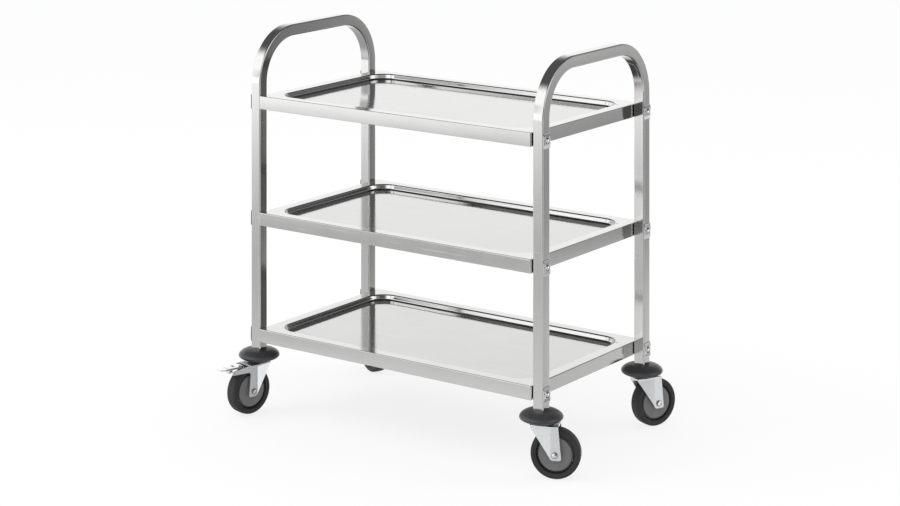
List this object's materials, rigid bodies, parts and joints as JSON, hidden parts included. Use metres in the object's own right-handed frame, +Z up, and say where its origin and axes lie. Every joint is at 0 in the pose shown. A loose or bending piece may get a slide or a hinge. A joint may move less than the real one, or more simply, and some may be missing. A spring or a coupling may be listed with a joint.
{
  "type": "service trolley",
  "caption": "Tiered stainless service trolley: pressed trays bolted between bent square-tube end frames, on swivel casters with round rubber bumpers, braked at one end.",
  "frame": {"origin": "on the floor, in the middle of the trolley's footprint as parked (middle of the bounding box, at its bottom)", "axes": "+X along the trolley from the braked end frame to the other one, +Y from the front long side to the back, +Z up"},
  "size_m": [0.8483, 0.5706, 0.82],
  "materials": {
    "brushed_stainless": "satin brushed stainless tube, brushed along its length",
    "polished_sheet": "semi-bright stainless sheet",
    "bright_bolt": "bright plated",
    "zinc_plate": "pressed sheet steel, bright zinc plated",
    "bumper_rubber": "moulded charcoal rubber, faint sheen",
    "tyre_rubber": "matt black tread",
    "hub_plastic": "moulded grey plastic"
  },
  "bodies": {
    "trolley": {"left_end_frame": "brushed_stainless", "right_end_frame": "brushed_stainless", "bottom_tray": "polished_sheet", "middle_tray": "polished_sheet", "top_tray": "polished_sheet", "saddle_front_left_bottom": "bright_bolt", "bolt_front_left_bottom": "bright_bolt", "saddle_front_left_middle": "bright_bolt", "bolt_front_left_middle": "bright_bolt", "saddle_front_left_top": "bright_bolt", "bolt_front_left_top": "bright_bolt", "saddle_back_left_bottom": "bright_bolt", "bolt_back_left_bottom": "bright_bolt", "saddle_back_left_middle": "bright_bolt", "bolt_back_left_middle": "bright_bolt", "saddle_back_left_top": "bright_bolt", "bolt_back_left_top": "bright_bolt", "saddle_front_right_bottom": "bright_bolt", "bolt_front_right_bottom": "bright_bolt", "saddle_front_right_middle": "bright_bolt", "bolt_front_right_middle": "bright_bolt", "saddle_front_right_top": "bright_bolt", "bolt_front_right_top": "bright_bolt", "saddle_back_right_bottom": "bright_bolt", "bolt_back_right_bottom": "bright_bolt", "saddle_back_right_middle": "bright_bolt", "bolt_back_right_middle": "bright_bolt", "saddle_back_right_top": "bright_bolt", "bolt_back_right_top": "bright_bolt", "stem_front_left": "zinc_plate", "bumper_front_left": "bumper_rubber", "race_front_left": "zinc_plate", "stem_back_left": "zinc_plate", "bumper_back_left": "bumper_rubber", "race_back_left": "zinc_plate", "stem_front_right": "zinc_plate", "bumper_front_right": "bumper_rubber", "race_front_right": "zinc_plate", "stem_back_right": "zinc_plate", "bumper_back_right": "bumper_rubber", "race_back_right": "zinc_plate"},
    "caster_front_left": {"fork_front_left": "zinc_plate", "axle_front_left": "zinc_plate"},
    "wheel_front_left": {"tyre_front_left": "tyre_rubber", "hub_front_left": "hub_plastic"},
    "pedal_front_left": {"brake_pedal_front_left": "bright_bolt"},
    "caster_back_left": {"fork_back_left": "zinc_plate", "axle_back_left": "zinc_plate"},
    "wheel_back_left": {"tyre_back_left": "tyre_rubber", "hub_back_left": "hub_plastic"},
    "pedal_back_left": {"brake_pedal_back_left": "bright_bolt"},
    "caster_front_right": {"fork_front_right": "zinc_plate", "axle_front_right": "zinc_plate"},
    "wheel_front_right": {"tyre_front_right": "tyre_rubber", "hub_front_right": "hub_plastic"},
    "caster_back_right": {"fork_back_right": "zinc_plate", "axle_back_right": "zinc_plate"},
    "wheel_back_right": {"tyre_back_right": "tyre_rubber", "hub_back_right": "hub_plastic"}
  },
  "joints": [
    {"name": "swivel_front_left", "type": "hinge", "parent": "trolley", "child": "caster_front_left", "pos_m": [-0.3802, -0.1737, 0.105], "axis": [0, 0, 1], "continuous": true},
    {"name": "roll_front_left", "type": "hinge", "parent": "caster_front_left", "child": "wheel_front_left", "pos_m": [-0.38583, -0.20266, 0.05], "axis": [0.9816, -0.1908, 0], "continuous": true},
    {"name": "brake_front_left", "type": "hinge", "parent": "caster_front_left", "child": "pedal_front_left", "pos_m": [-0.39585, -0.25419, 0.0985], "axis": [0.9816, -0.1908, 0], "range_deg": [0, 15]},
    {"name": "swivel_back_left", "type": "hinge", "parent": "trolley", "child": "caster_back_left", "pos_m": [-0.3802, 0.2093, 0.105], "axis": [0, 0, 1], "continuous": true},
    {"name": "roll_back_left", "type": "hinge", "parent": "caster_back_left", "child": "wheel_back_left", "pos_m": [-0.35325, 0.1973, 0.05], "axis": [0.4067, 0.9135, 0], "continuous": true},
    {"name": "brake_back_left", "type": "hinge", "parent": "caster_back_left", "child": "pedal_back_left", "pos_m": [-0.30529, 0.17595, 0.0985], "axis": [0.4067, 0.9135, 0], "range_deg": [0, 15]},
    {"name": "swivel_front_right", "type": "hinge", "parent": "trolley", "child": "caster_front_right", "pos_m": [0.3488, -0.1737, 0.105], "axis": [0, 0, 1], "continuous": true},
    {"name": "roll_front_right", "type": "hinge", "parent": "caster_front_right", "child": "wheel_front_right", "pos_m": [0.37564, -0.16147, 0.05], "axis": [-0.4147, 0.91, 0], "continuous": true},
    {"name": "swivel_back_right", "type": "hinge", "parent": "trolley", "child": "caster_back_right", "pos_m": [0.3488, 0.2093, 0.105], "axis": [0, 0, 1], "continuous": true},
    {"name": "roll_back_right", "type": "hinge", "parent": "caster_back_right", "child": "wheel_back_right", "pos_m": [0.36033, 0.23645, 0.05], "axis": [-0.9205, 0.3907, 0], "continuous": true}
  ]
}
